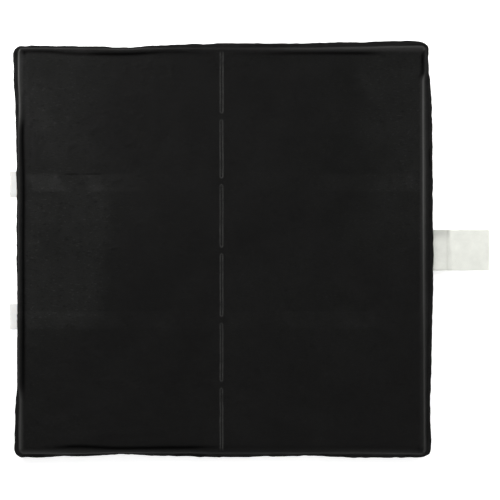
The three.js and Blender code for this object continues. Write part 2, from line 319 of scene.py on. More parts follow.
# The marks that the skins carry for their material, in the order of fabric_cover's columns. Most of them
# place painted highlights, painted light and painted shade.
COVER_MASKS = ("band", "band_shadow_line", "pressed", "seal_line_highlight", "painted_side_light", "fold_highlight", "crevice_shade", "rim")


def rib_bands(x, y):
    """Where the cross ribs show through as smoother, slightly raised bands, from 0 to 1, which also carry a
    painted highlight. The fabric lies tight on them in patches, the more so towards the sides of the pad."""
    band = 0
    for centre, (lean, patches) in zip(RIB_CENTRES, BAND_PATCHES):
        off = y - centre - lean
        slant = x + 0.45 * off + 2.5 * noise_2d(x, y, 9, 7, 700)
        tight = 0.1 + sum(amount * soft_box(slant - place, half, 5) for place, half, amount in patches)
        tight = tight * (0.75 + 0.35 * noise_2d(x, y, 11, 8, 701, 0.6))
        band = band + soft_box(off, RIB_WIDTH / 2, 1.6) * tight
    return band


def band_shadow_line(x, y):
    """How strongly the thin painted shadow line above the upper band shows at each place along it, from 0 to
    1.
    """
    return soft_box(x + 109, 24, 10) * smooth(0.85 + 1.0 * noise_2d(x, y, 5, 300, 702))


def seal_bars(x, y):
    """The pressed bars of the centre seam: how deep, from 0 to 1, and the raised lines along their sides,
    which also carry a painted highlight.
    """
    gap = np.array(SEAL_GAPS)[np.argmin([np.abs(y - gap) for gap in SEAL_GAPS], axis=0)]
    inner_end = SEAL_SPACE / 2 + SEAL_HALF_WIDTH - np.abs(y - gap)
    outer_end = np.abs(y) + SEAL_HALF_WIDTH - SEAL_OVERRUN - SHOULDER_Y
    reach = np.hypot(x + 0.15 * noise_2d(x, y, 9, 9, 650), np.maximum(np.maximum(inner_end, outer_end), 0))
    narrow = SEAL_LINE * (0.9 + 0.12 * smooth((y + 60) / 120))
    pressed = 1 - smooth((reach - 0.8) / 0.9)
    patchy = 0.75 + 0.35 * noise_2d(x, y, 4, 3.5, 651) + 0.2 * noise_2d(x, y, 1.6, 1.8, 652)
    fading = smooth((SHOULDER_Y + 1 - np.abs(y)) / 4)
    return pressed * fading, bump(reach - narrow, 0.36) * patchy * fading


def wrinkles(x, y, seed):
    """Small creases that the fabric keeps from being handled, from 0 to 1, in patches."""
    kinds = [(14, 3.4, 0.15), (11, 3.0, 1.4), (9, 3.2, 0.7), (16, 4.5, -0.4)]  # length, width, turn
    found = np.zeros_like(x)
    for i, (length, width, turn) in enumerate(kinds):
        crease = 1 - np.abs(noise_2d(x, y, length, width, seed + i, turn))
        patch = smooth((noise_2d(x, y, 34, 28, seed + 20 + i) - 0.1) / 0.6)
        found += patch * np.clip(crease - 0.75, 0, 1) * 4
    return found / 2


# Long soft folds in the fabric: from (x, y) to (x, y), with their width and height.
SOFT_FOLDS = [
    (-163.5, 150, -162.5, 108, 2.0, 0.45),
    (-158, 96, -157, 60, 2.6, 0.30),
    (-150, -150, -92, -128, 6.0, 0.68),
    (-120, -158, -50, -152, 4.0, 0.45),
    (-150, 140, -92, 60, 7.0, 0.52),
    (-118, 20, -112, -60, 5.0, 0.38),
    (-70, 150, -30, 100, 8.0, 0.38),
    (110, 150, 150, 96, 8.0, 0.52),
    (96, -20, 146, -76, 8.0, 0.60),
    (60, 90, 110, 66, 7.0, 0.38),
    (60, -150, 130, -158, 5.0, 0.38),
]


def soft_folds(x, y):
    found = np.zeros_like(x)
    for x0, y0, x1, y1, width, height in SOFT_FOLDS:
        run = np.array([x1 - x0, y1 - y0])
        length = np.hypot(*run)
        along = ((x - x0) * run[0] + (y - y0) * run[1]) / length
        aside = ((y - y0) * run[0] - (x - x0) * run[1]) / length
        found += height * bump(aside, width) * soft_box(along - length / 2, length / 2, length * 0.7)
    return found


# Where three of the bag's corners are tucked in: the place, width and height of each pocket, which is dented
# and darkened with painted shade.
TUCKS = [
    (-167.2, 167.6, 3.0, 2.0),
    (169.9, 160.5, 1.2, 6.0),
    (168.0, -168.3, 3.2, 2.0),
]


def tucks(x, y):
    found = np.zeros_like(x)
    for place_x, place_y, wide, high in TUCKS:
        found += bump(x - place_x, wide) * bump(y - place_y, high)
    return found


def painted_side_light(x, y):
    """Where the fabric is painted paler, as painted light from the upper left and the upper right: at the
    left, and a little at the upper right.
    """
    wander = 14 * noise_2d(x, y, 26, 30, 710, 0.5)
    patch = smooth((-86 - x + 0.6 * wander) / 28) * soft_box(y + 2, 58, 14)
    left = np.maximum(0.75 * smooth((-70 - x + wander) / 90), patch) * (0.3 + 0.7 * smooth((y + 90) / 40))
    right = 0.75 * smooth((x - 92 + wander) / 60) * smooth((y + 50 + wander) / 90)
    top = 0.1 * smooth((y + 20) / 120) * smooth((-x + wander) / 80)
    return (left + right + top) * (0.85 + 0.3 * noise_2d(x, y, 16, 22, 711, 0.4))


def relief(x, y, seed):
    """How far the fabric stands above the face's middle level: swells, creases, bands, folds and the seam."""
    swell = 0.2 * noise_2d(x, y, 70, 55, seed, 0.3) + 0.2 * noise_2d(x, y, 30, 24, seed + 1, 0.9)
    fine = 0.08 * noise_2d(x, y, 11, 8, seed + 2, 0.5) + 0.03 * noise_2d(x, y, 6, 5, seed + 3, 1.1)
    in_patches = smooth(noise_2d(x, y, 45, 40, seed + 9) + 0.6)
    pimples = np.clip(noise_2d(x, y, 5.5, 4, seed + 4, 0.2) - 0.6, 0, 1) * in_patches
    more_left = 0.4 + 0.6 * smooth((60 - x + 0.4 * y) / 240)
    creases = more_left * (0.45 * wrinkles(x, y, seed + 5) + 1.5 * pimples)
    band = rib_bands(x, y)
    raised = 0.10 * band * smooth((np.abs(x) - 4) / 10) + soft_folds(x, y)
    pressed, lines = seal_bars(x, y)
    seam = -SEAL_DEPTH * pressed + 0.06 * lines - 0.1 * bump(x, 5)
    return swell + fine * (1 - 0.6 * band) + creases * (1 - 0.7 * band) + raised + seam - 0.4 * tucks(x, y)


def fillet(before, corner, after, radius, count):
    """count points of a rounded corner, for arrays of (offset, height) points of shape (2, n)."""
    into, out = before - corner, after - corner
    in_length, out_length = np.hypot(*into), np.hypot(*out)
    cut_in = np.minimum(radius, 0.45 * in_length) / in_length
    cut_out = np.minimum(radius, 0.45 * out_length) / out_length
    start, end = corner + into * cut_in, corner + out * cut_out
    points = []
    for t in np.linspace(0, 1, count):
        points.append(start * (1 - t) ** 2 + corner * 2 * t * (1 - t) + end * t * t)
    return points


def border_stations(table_row, shoulder, face, scale):
    """The corners of the border's profile from the face outwards, as arrays of (offset, height) by name."""
    valley, depth, crest, drop, foot, foot_height, edge = table_row
    zero = np.zeros_like(valley)
    return {
        "face": np.array([zero + shoulder - RING_ZONE, zero + face]),
        "brink": np.array([valley - 2.2, zero + face - 0.04]),
        "valley": np.array([valley, face - depth]),
        "crest": np.array([crest, face - drop]),
        "foot": np.array([foot, foot_height * scale]),
        "flange": np.array([foot + 0.55 * (edge - foot), zero + EDGE_HEIGHT + FLANGE_RISE]),
        "edge": np.array([edge, zero + EDGE_HEIGHT]),
    }


def profile_rings(stations):
    """The rings of the border: the name of each, and its (offset, height) array."""
    names = list(stations)
    rings = []
    for name, radius, count in FILLETS:
        i = names.index(name)
        before, after = stations[names[i - 1]], stations[names[i + 1]]
        found = fillet(before, stations[name], after, radius, count)
        if name == "foot":
            rings.append(("wall", (rings[-1][1] + found[0]) / 2))
        rings += [(name, p) for p in found]
    rings.append(("edge", stations["edge"]))
    return rings


def border_profile(rows, along, plain, heights, highlight_widths):
    """The rings from the face's grid to the flange's edge, and the marks of each: a painted highlight along
    the shoulder's crest, painted shade in the valley and at the foot, and painted light on the rim, which is
    also rougher. The highlight's width goes from the first to the second of the given widths along the side.
    A plain border, as at the back, has no valley and a weaker painted highlight."""
    *table_row, shine = follow(rows, along)
    valley, depth, crest, drop, foot, _, edge = table_row
    if plain:
        depth, drop, shine = depth * 0, drop * 0 + 0.1, shine * 0.25
        table_row[1], table_row[3] = depth, drop
    rings = profile_rings(border_stations(table_row, *heights))
    foot_shade = 0.3 * smooth((edge - foot - 1.2) / 2.2)
    highlight_width = np.interp(along, (-SHOULDER_X, SHOULDER_X), highlight_widths)
    marks = []
    for name, (offset, _) in rings:
        # a painted highlight along the shoulder's crest
        fold_highlight = shine * bump(offset - crest, highlight_width)
        # painted shade in the valley and at the foot of the wall
        groove = np.clip(depth / 0.8, 0, 1) * bump(offset - valley, GROOVE_WIDTH)
        crevice_shade = np.maximum(groove, foot_shade * bump(offset - foot, 0.9))
        # painted light on the flange's rim, which is also made rougher
        rim = smooth((offset - crest + 1.2) / 2.4) if name != "edge" else np.full_like(along, 0.8)
        marks.append([fold_highlight, crevice_shade, rim])
    return rings, marks


def corner_path(t, before, after, radius):
    """Points at fractions t of the way round a corner, from its start: how far on, and how far to the left.
    The ring lies before outside the face's grid on its first side, and after outside it on the next."""
    first = CORNER_REACH + after - radius
    last = CORNER_REACH + before - radius
    arc = math.pi * radius / 2
    s = t * (first + arc + last)
    angle = np.clip((s - first) / max(radius, 1e-6), 0, math.pi / 2)
    on = np.minimum(s, first) + radius * np.sin(angle)
    left = radius * (1 - np.cos(angle)) + np.maximum(s - first - arc, 0)
    return on, left


def side_borders(columns, rows):
    """The four sides of the face's border in order round it: direction, outward normal, the places along it,
    its table, its shoulder and the widths of the painted highlight along its shoulder."""
    return [
        ((1, 0), (0, -1), columns[:-1], BOTTOM_BORDER, SHOULDER_Y, (1.5, 1.3)),
        ((0, 1), (1, 0), rows[:-1], RIGHT_BORDER, SHOULDER_X, (0.9, 0.8)),
        ((-1, 0), (0, 1), columns[:0:-1], TOP_BORDER, SHOULDER_Y, (0.8, 1.5)),
        ((0, -1), (-1, 0), rows[:0:-1], LEFT_BORDER, SHOULDER_X, (1.6, 0.8)),
    ]


def border_rings(columns, rows, plain, face, scale):
    """Every ring outside the face's grid: its name, the (x, y, height) of its points, and its marks."""
    sides, profiles = [], []
    for direction, normal, places, table, shoulder, highlight_widths in side_borders(columns, rows):
        profiles.append(border_profile(table, places, plain, (shoulder, face, scale), highlight_widths))
        sides.append((np.array(direction), np.array(normal), places, shoulder - RING_ZONE))
    rings = []
    for number, (name, _) in enumerate(profiles[0][0]):
        points = []
        for (direction, normal, places, _), (found, _) in zip(sides, profiles):
            offset, height = found[number][1]
            flat = np.outer(places, np.abs(direction)) + np.outer(offset, normal)
            points.append(np.column_stack([flat, height]))
        for side in range(4):
            round_corner(points, sides, side, RINGS[name][0])
        rings.append((name, np.vstack(points), np.hstack([marks[number] for _, marks in profiles]).T))
    return rings


def round_corner(points, sides, side, radius):
    """Moves the ring's points near the corner between this side and the next one onto a rounded path."""
    direction, normal, places, base = sides[side]
    following, next_normal, next_places, next_base = sides[(side + 1) % 4]
    on, after = points[side], points[(side + 1) % 4]
    corner = next_base * next_normal + base * normal
    to_corner = (corner - np.outer(places, np.abs(direction))) @ direction
    from_corner = (np.outer(next_places, np.abs(following)) - corner) @ following
    near = to_corner < CORNER_REACH
    past = from_corner < CORNER_REACH
    first, last = np.argmax(near), len(next_places) - 1 - np.argmax(past[::-1])
    before_offset = on[first, :2] @ normal - base
    after_offset = after[last, :2] @ next_normal - next_base
    t_near = (CORNER_REACH - to_corner[near]) / (2 * CORNER_REACH)
    t_past = (CORNER_REACH + from_corner[past]) / (2 * CORNER_REACH)
    start = corner - CORNER_REACH * direction + before_offset * normal
    for group, mask, t in ((on, near, t_near), (after, past, t_past)):
        ahead, left = corner_path(t, before_offset, after_offset, radius)
        group[mask, :2] = start + np.outer(ahead, direction) + np.outer(left, following)
        group[mask, 2] = on[first, 2] + (after[last, 2] - on[first, 2]) * smooth(t)


def ring_normals(points):
    ahead = np.roll(points[:, :2], -1, 0) - np.roll(points[:, :2], 1, 0)
    outward = np.column_stack([ahead[:, 1], -ahead[:, 0]])
    return outward / np.maximum(np.linalg.norm(outward, axis=1), 1e-9)[:, None]


def pucker(points, name, step):
    """Ripples a ring of the border, more where its fabric is looser and near the corners."""
    amount = RINGS[name][1]
    path = np.linalg.norm(np.roll(points[:, :2], -1, 0) - points[:, :2], axis=1)
    along = np.concatenate([[0], np.cumsum(path)[:-1]])
    length = path.sum()
    to_corner = np.hypot(SHOULDER_X - np.abs(points[:, 0]), SHOULDER_Y - np.abs(points[:, 1]))
    near_corner = 1 + 1.3 * bump(to_corner, 9)
    seeds = 40 if name in ("flange", "edge") else 60
    out = 0.34 * noise_1d(along, length, 13, seeds) + 0.22 * noise_1d(along, length, 5.2, seeds + 1)
    out += 0.12 * noise_1d(along, length, 2.4, seeds + 2 + step)
    up = 0.45 * noise_1d(along, length, 17, seeds + 30) + 0.25 * noise_1d(along, length, 6.5, seeds + 31)
    up *= near_corner
    moved = points.copy()
    moved[:, :2] += ring_normals(points) * (amount * near_corner * out)[:, None]
    moved[:, 2] += up * amount * (0.5 if name in ("edge", "wall") else 0.8)
    return moved


def outline_openings(points, name):
    """The two layers of the flange part a little where the ribbon and the hook strips pass between them."""
    if name not in ("foot", "flange", "edge"):
        return points
    moved = points.copy()
    for node, side, lift in (("pull_tab", 1, 0.38), ("upper_strip", -1, 0.45), ("lower_strip", -1, 0.45)):
        low, high = box_mm(node)
        middle, half = (low[1] + high[1]) / 2, (high[1] - low[1]) / 2
        beyond = side * points[:, 0] > SHOULDER_X
        moved[:, 2] += lift * soft_box(points[:, 1] - middle, half + 1.5, 4) * beyond
    return moved


def point_normals(points, faces):
    """Outward normals of the points, averaged over the quads that meet there."""
    a, b, c, d = (points[faces[:, i]] for i in range(4))
    face_normals = np.cross(c - a, d - b)
    normals = np.zeros_like(points)
    for i in range(4):
        np.add.at(normals, faces[:, i], face_normals)
    return normals / np.maximum(np.linalg.norm(normals, axis=1), 1e-12)[:, None]


def new_object(name, points, faces, material):
    """A smooth-shaded mesh object from points in millimetres."""
    mesh = bpy.data.meshes.new(name)
    mesh.from_pydata((points * MM).tolist(), [], faces)
    mesh.validate()
    mesh.polygons.foreach_set("use_smooth", [True] * len(mesh.polygons))
    mesh.materials.append(material)
    made = bpy.data.objects.new(name, mesh)
    bpy.context.scene.collection.objects.link(made)
    return made


def add_masks(made, names, values):
    """One attribute for each name from the columns of values, for the material to read."""
    for i, name in enumerate(names):
        mask = made.data.attributes.new(name, "FLOAT", "POINT")
        mask.data.foreach_set("value", values[:, i].astype(np.float32))


def layer_faces(width, height, ring_count):
    """The quads of a layer, and the numbers of the points round its edge. A layer is a grid of points with
    rings round it."""
    index = np.arange(width * height).reshape(height, width)
    corners = index[:-1, :-1], index[:-1, 1:], index[1:, 1:], index[1:, :-1]
    faces = [np.column_stack([corner.ravel() for corner in corners])]
    loop = np.concatenate([index[0, :-1], index[:-1, -1], index[-1, :0:-1], index[:0:-1, 0]])
    first = width * height
    for _ in range(ring_count):
        ring = np.arange(first, first + len(loop))
        faces.append(np.column_stack([loop, ring, np.roll(ring, -1), np.roll(loop, -1)]))
        loop = ring
        first += len(loop)
    return np.vstack(faces), loop


def every_other(values, width, height, ring_count):
    """The same layer with half as many points each way."""
    kinds = values.shape[1]
    grid = values[: width * height].reshape(height, width, kinds)[::2, ::2]
    rings = values[width * height :].reshape(ring_count, -1, kinds)[:, ::2]
    return np.vstack([grid.reshape(-1, kinds), rings.reshape(-1, kinds)])


def cover_grid():
    """The places of the face's columns and rows, finer at the border, the seam and the gaps in the seam."""
    seam = [(0, 0.42, 3.2)]
    seal_gaps = [(gap, 0.7, 3.5) for gap in SEAL_GAPS]
    found = []
    for shoulder, finer in ((SHOULDER_X, seam), (SHOULDER_Y, seal_gaps)):
        half = shoulder - RING_ZONE
        found.append(graded(half, FACE_STEP, [(-half, 0.75, 6), (half, 0.75, 6), *finer]))
    return found


def outer_layer(columns, rows, front, seed):
    """The outer points of one half of the bag, how far each one follows the face's relief, the marks of its
    border, and how many rings it has."""
    face = FRONT_HIGH[2] - WELD_PLANE - FACE_DROP if front else WELD_PLANE - BACK_LOW[2] - BACK_DROP
    rings = border_rings(columns, rows, not front, face, 1.0 if front else 0.9)
    across, up = np.meshgrid(columns, rows)
    points = [np.column_stack([across.ravel(), up.ravel(), np.full(across.size, face)])]
    fade = [np.ones(across.size)]
    marks = [np.zeros((across.size, 3))]
    for step, (name, ring, ring_marks) in enumerate(rings):
        points.append(outline_openings(pucker(ring, name, step), name))
        fade.append(np.full(len(ring), RINGS[name][2]))
        marks.append(ring_marks)
    points, fade, marks = np.vstack(points), np.concatenate(fade), np.vstack(marks)
    points[:, 2] += relief(points[:, 0], points[:, 1], seed) * fade * (1.0 if front else 0.7)
    if not front:  # it lies on its back, which presses the back flat
        points[:, 2] = np.minimum(points[:, 2], WELD_PLANE - BACK_LOW[2])
    return points, fade, marks, len(rings)


def double_skin(points, sizes, facing):
    """A closed skin of two layers from the outer points: every point and every face. The inner layer has half
    as many points each way."""
    faces, edge = layer_faces(*sizes)
    if facing < 0:
        faces = faces[:, ::-1]
    inner = every_other(points - point_normals(points, faces) * SKIN, *sizes)
    inner_faces, inner_edge = layer_faces((sizes[0] + 1) // 2, (sizes[1] + 1) // 2, sizes[2])
    above_weld = np.maximum(facing * (inner[inner_edge, 2] - WELD_PLANE), 0.02)
    inner[inner_edge, 2] = WELD_PLANE + facing * above_weld
    if facing > 0:
        inner_faces = inner_faces[:, ::-1]
    inner_faces, inner_edge = inner_faces + len(points), inner_edge + len(points)
    next_inner, next_outer = np.roll(inner_edge, -1), np.roll(edge, -2)[::2]
    closing = np.column_stack([edge[::2], inner_edge, next_inner, next_outer, edge[1::2]])
    if facing < 0:
        closing = closing[:, ::-1]
    return np.vstack([points, inner]), [*faces.tolist(), *inner_faces.tolist(), *closing.tolist()]


def fabric_cover(name, facing, material, seed):
    """One half of the bag: facing is 1 for the front half and -1 for the back half."""
    columns, rows = cover_grid()
    points, fade, marks, ring_count = outer_layer(columns, rows, facing > 0, seed)
    points[:, 2] = WELD_PLANE + facing * points[:, 2]
    sizes = len(columns), len(rows), ring_count
    made = new_object(name, *double_skin(points, sizes, facing), material)

    x, y = points[:, 0], points[:, 1]
    pressed, lines = seal_bars(x, y)
    # the tucks add painted shade to the valleys' shade mark
    marks[:, 1] = np.maximum(marks[:, 1], tucks(x, y))
    on_face = np.column_stack([rib_bands(x, y), band_shadow_line(x, y), pressed, lines, painted_side_light(x, y)])
    masks = np.column_stack([on_face * fade[:, None], marks])
    add_masks(made, COVER_MASKS, np.vstack([masks, every_other(masks, *sizes)]))
    return made


# ---------------------------------------------------------------- materials


class Material:
    """A small helper that adds nodes to one material."""

    def __init__(self, name):
        self.material = bpy.data.materials.new(name)
        self.material.use_nodes = True
        self.tree = self.material.node_tree
        self.surface = self.tree.nodes["Principled BSDF"]

    def node(self, kind, **values):
        """A node with its sockets filled by name, and its own settings by set_ and their name."""
        made = self.tree.nodes.new(kind)
        for key, value in values.items():
            if key.startswith("set_"):
                setattr(made, key[4:], value)
            else:
                self.give(made.inputs[key], value)
        return made

    def give(self, socket, value):
        if isinstance(value, bpy.types.NodeSocket):
            self.tree.links.new(value, socket)
        else:
            socket.default_value = value

    def math(self, operation, first, second=0.0):
        made = self.node("ShaderNodeMath", set_operation=operation)
        self.give(made.inputs[0], first)
        self.give(made.inputs[1], second)
        return made.outputs[0]

    def product(self, *values):
        result = values[0]
        for value in values[1:]:
            result = self.math("MULTIPLY", result, value)
        return result

    def total(self, *values):
        result = values[0]
        for value in values[1:]:
            result = self.math("ADD", result, value)
        return result

    def tinted(self, tone, red=1.0, green=1.0, blue=1.0):
        """A colour with a share of the tone in each channel."""
        shares = {"Red": red, "Green": green, "Blue": blue}
        channels = {key: self.product(tone, share) for key, share in shares.items()}
        return self.node("ShaderNodeCombineColor", **channels).outputs[0]

    def mask(self, name):
        return self.node("ShaderNodeAttribute", set_attribute_name=name).outputs["Fac"]

    def place(self, turn=(0, 0, 0), scale=(1, 1, 1)):
        """Object coordinates in metres, turned and scaled."""
        where = self.node("ShaderNodeTexCoord").outputs["Object"]
        return self.node("ShaderNodeMapping", Vector=where, Rotation=turn, Scale=scale).outputs[0]

    def noise(self, where, scale, detail=2.0, roughness=0.5, distortion=0.0):
        made = self.node(
            "ShaderNodeTexNoise", Vector=where, Scale=scale, Detail=detail, Roughness=roughness,
            Distortion=distortion,
        )
        return made.outputs["Fac"]

    def remap(self, value, low, high, to_low=0.0, to_high=1.0):
        made = self.node("ShaderNodeMapRange", Value=value)
        for key, number in (("From Min", low), ("From Max", high), ("To Min", to_low), ("To Max", to_high)):
            made.inputs[key].default_value = number
        return made.outputs["Result"]

    def bump(self, height, depth, strength=1.0):
        return self.node("ShaderNodeBump", Height=height, Strength=strength, Distance=depth * MM).outputs[0]

    def finish(self, **sockets):
        """Fills the surface's sockets. A _ in a key stands for a space."""
        for key, value in sockets.items():
            self.give(self.surface.inputs[key.replace("_", " ")], value)
        return self.material


def fibres(m, scale):
    """Criss-cross fibres: fine noise, stretched in several directions, of which the strongest shows."""
    strongest = 0.0
    for turn in (0.25, 1.2, 2.1, 2.85):
        layer = m.noise(m.place((0, 0, turn), (1, 7, 7)), scale, 1.5, 0.5, 0.6)
        strongest = m.math("MAXIMUM", strongest, m.remap(layer, 0.52, 0.72))
    return strongest


PLAIN_BLACK = 0.0054  # how light the cover's fabric is where nothing marks it


def cover_tone(m, speckle, fibre, line):
    """How light the cover's fabric is at each place, as a share of PLAIN_BLACK, with the painted light and
    painted shade included.
    """
    cloud = m.noise(m.place(), 45, 3.0, 0.6)
    wear = m.noise(m.place(), 14, 2.0, 0.5)
    flecks = m.noise(m.place((0, 0, 0.3), (1, 2.5, 1)), 330, 0.0)
    smudges = m.noise(m.place((0, 0, 0.5), (1, 1.4, 1)), 170, 1.0)
    # painted light: the flecks show more where the fabric is painted paler
    where_lit = m.remap(m.mask("painted_side_light"), 0, 0.9, 0.5, 1.0)
    pale = m.remap(flecks, 0.70, 0.76, 0.0, 0.65)
    dark = m.total(m.remap(flecks, 0.22, 0.28, 0.45, 0.0), m.remap(smudges, 0.62, 0.70, 0.0, 0.22))
    spots = m.product(m.math("SUBTRACT", pale, dark), where_lit)
    return m.product(
        m.remap(speckle, 0.35, 0.7, 0.85, 1.2),
        m.remap(cloud, 0.35, 0.65, 0.91, 1.09),
        m.remap(fibre, 0, 1, 0.95, 1.25),
        m.remap(wear, 0.35, 0.65, 0.93, 1.07),
        m.total(1.0, spots),
        # a painted highlight on the bands, where the fabric lies tight
        m.remap(m.mask("band"), 0, 1, 1.0, 1.55),
        # painted light on the rim
        m.remap(m.mask("rim"), 0, 1, 1.0, 1.5),
        # painted light at the left and upper right
        m.remap(m.mask("painted_side_light"), 0, 1, 1.0, 1.55),
        # painted shade in the valleys, at the wall's foot and in the tucks
        m.remap(m.mask("crevice_shade"), 0, 1, 1.0, 0.03),
        # the painted shadow line along the top of the upper band
        m.remap(line, 0, 1, 1.0, 0.3),
    )


def cover_roughness(m, speckle, line):
    """The fabric is smoother where it is pressed or tight, and rougher where painted shade darkens the
    valleys, the wall's foot, the tucks and the line above the upper band, and on the flange.
    """
    smoother = m.math("MAXIMUM", m.product(m.mask("band"), 0.5), m.mask("pressed"))
    smoother = m.math("MAXIMUM", smoother, m.mask("fold_highlight"))
    plain = m.math("SUBTRACT", m.remap(speckle, 0.3, 0.7, 0.5, 0.66), m.product(smoother, 0.22))
    creased = m.math("MAXIMUM", m.mask("crevice_shade"), m.product(line, 0.6))
    rougher = m.total(m.product(creased, 0.4), m.product(m.mask("rim"), 0.25))
    return m.math("MINIMUM", m.total(plain, rougher), 0.95)


def nonwoven_black():
    """The cover's needled fabric. The masks of the skins say where it is pressed, and where painted
    highlights (along the shoulders, the seal lines and the bands), painted light (on the rim, at the left and
    at the upper right) and painted shade (in the valleys, the tucks and the line above the upper band) fall
    on it.
    """
    m = Material("nonwoven_black")
    speckle = m.noise(m.place(), 1400, 2.0, 0.6)
    fibre = fibres(m, 420)
    along_seam = m.node("ShaderNodeSeparateXYZ", Vector=m.place()).outputs[1]
    from_shadow_line = m.math("ABSOLUTE", m.math("SUBTRACT", along_seam, BAND_SHADOW_Y * MM))
    # the painted shadow line along the top of the upper band
    line = m.product(m.remap(from_shadow_line, 0.2 * MM, 0.7 * MM, 1.0, 0.0), m.mask("band_shadow_line"))
    stipple = m.remap(m.noise(m.place(), 1500, 1.0), 0.45, 0.6)
    shade = m.total(
        m.product(cover_tone(m, speckle, fibre, line), PLAIN_BLACK),
        # a painted highlight on the raised lines along the seal bars
        m.product(m.mask("seal_line_highlight"), 0.030),
        m.product(m.product(m.mask("pressed"), stipple), 0.008),
        # the painted highlight along the shoulder's crest
        m.product(m.mask("fold_highlight"), 0.06),
    )
    return m.finish(
        Base_Color=m.tinted(shade, blue=0.97),
        Roughness=cover_roughness(m, speckle, line),
        Normal=m.bump(m.total(m.product(fibre, 0.6), m.product(speckle, 0.8)), 0.12, 0.45),
        Sheen_Weight=0.005,
        Sheen_Roughness=0.4,
        Specular_IOR_Level=0.045,
    )


def nonwoven_white():
    """A spunbonded ribbon: fine fibres, pressed together in a small grid of bond points."""
    m = Material("nonwoven_white")
    fibre = fibres(m, 600)
    cloud = m.noise(m.place(), 120, 3.0, 0.6)
    where = m.place((0, 0, math.pi / 4))
    dots = m.node("ShaderNodeTexVoronoi", Vector=where, set_feature="F1", Scale=900, Randomness=0.0)
    point = m.remap(dots.outputs["Distance"], 0.22, 0.32, 1.0, 0.0)
    tone = m.product(
        m.remap(cloud, 0.3, 0.7, 0.93, 1.03),
        m.remap(fibre, 0, 1, 0.97, 1.03),
        m.remap(point, 0, 1, 1.0, 0.94),
        m.remap(m.mask("shaded"), 0, 1, 1.0, 0.65),
    )
    return m.finish(
        Base_Color=m.tinted(tone, 0.715, 0.725, 0.67),
        Roughness=m.remap(point, 0, 1, 0.8, 0.5),
        Normal=m.bump(m.math("SUBTRACT", m.product(fibre, 0.5), point), 0.1, 0.5),
        Sheen_Weight=0.15,
    )


def hook_plastic(name, lightness):
    m = Material(name)
    cloud = m.noise(m.place(), 200, 2.0)
    ribs = m.noise(m.place((0, 0, 0), (6, 1, 1)), 800)
    return m.finish(
        Base_Color=m.tinted(m.remap(cloud, 0.3, 0.7, lightness - 0.02, lightness + 0.02), blue=0.98),
        Roughness=m.remap(cloud, 0.3, 0.7, 0.4, 0.55),
        Normal=m.bump(ribs, 0.05, 0.4),
        Subsurface_Weight=0.1,
    )


def moulded_strip():
    m = Material("moulded_strip")
    grain = m.noise(m.place(), 1400, 3.0, 0.6)
    flow = m.noise(m.place((0, 0, 0), (1, 1, 6)), 25, 2.0)
    tone = m.product(m.remap(grain, 0.3, 0.7, 0.85, 1.15), m.remap(flow, 0.3, 0.7, 0.034, 0.044))
    return m.finish(
        Base_Color=m.tinted(tone, blue=1.05),
        Roughness=m.remap(grain, 0.3, 0.7, 0.5, 0.7),
        Normal=m.bump(grain, 0.06, 0.5),
    )


def honeycomb_wall():
    m = Material("honeycomb_wall")
    grain = m.noise(m.place((0, 0, 0), (1, 1, 5)), 500, 3.0, 0.6)
    return m.finish(
        Base_Color=m.tinted(m.remap(grain, 0.3, 0.7, 0.02, 0.031), blue=1.08),
        Roughness=m.remap(grain, 0.3, 0.7, 0.45, 0.65),
        Normal=m.bump(grain, 0.05, 0.4),
    )


def carbon_granules():
    m = Material("carbon_granules")
    cells = m.node("ShaderNodeTexVoronoi", Vector=m.place(), set_feature="F1", Scale=650)
    own = m.node("ShaderNodeSeparateColor", Color=cells.outputs["Color"]).outputs[0]
    dust = m.noise(m.place(), 3000, 2.0)
    tone = m.product(m.remap(own, 0, 1, 0.0035, 0.009), m.remap(dust, 0.3, 0.7, 0.8, 1.3))
    rounded = m.remap(cells.outputs["Distance"], 0.0, 0.7, 1.0, 0.0)
    return m.finish(
        Base_Color=m.tinted(tone),
        Roughness=m.remap(own, 0, 1, 0.55, 0.9),
        Normal=m.bump(m.total(rounded, m.product(dust, 0.2)), 0.8, 0.9),
    )


def scrim_net():
    """A fine net of threads that cross, worked out from the place across and along it."""
    m = Material("scrim_net")
    pitch = 1.1 * MM
    where = m.node("ShaderNodeSeparateXYZ", Vector=m.place()).outputs
    warp, weft = (m.math("SINE", m.product(where[i], 2 * math.pi / pitch)) for i in (0, 1))
    thread = m.remap(m.math("MAXIMUM", warp, weft), 0.35, 0.75)
    cloud = m.noise(m.place(), 700)
    tone = m.product(m.remap(thread, 0, 1, 0.008, 0.026), m.remap(cloud, 0.3, 0.7, 0.85, 1.15))
    return m.finish(
        Base_Color=m.tinted(tone, blue=1.06),
        Roughness=m.remap(thread, 0, 1, 0.85, 0.55),
        Normal=m.bump(thread, 0.2, 0.6),
    )


# ---------------------------------------------------------------- ribbon and strips


def strip_points(path, lines, thickness, sway):
    """The points of a strip's upper layer, then of its lower one, line by line. Its two long edges waver."""
    ahead = np.gradient(path, axis=0)
    normal = np.column_stack([-ahead[:, 1], ahead[:, 0]])
    normal /= np.linalg.norm(normal, axis=1)[:, None]
    run = np.concatenate([[0], np.cumsum(np.linalg.norm(np.diff(path, axis=0), axis=1))])
    points = []
    for face in (1, -1):
        layer = path + normal * np.reshape(thickness, (-1, 1)) / 2 * face
        for i, y in enumerate(lines):
            waver = 0.12 if i in (0, len(lines) - 1) else 0.0
            y_there = y + waver * noise_1d(run, 200, 7, 80 + i)
            z_there = layer[:, 1] + sway(path[:, 0], y)
            points.append(np.column_stack([layer[:, 0], y_there, z_there]))
    return np.vstack(points)


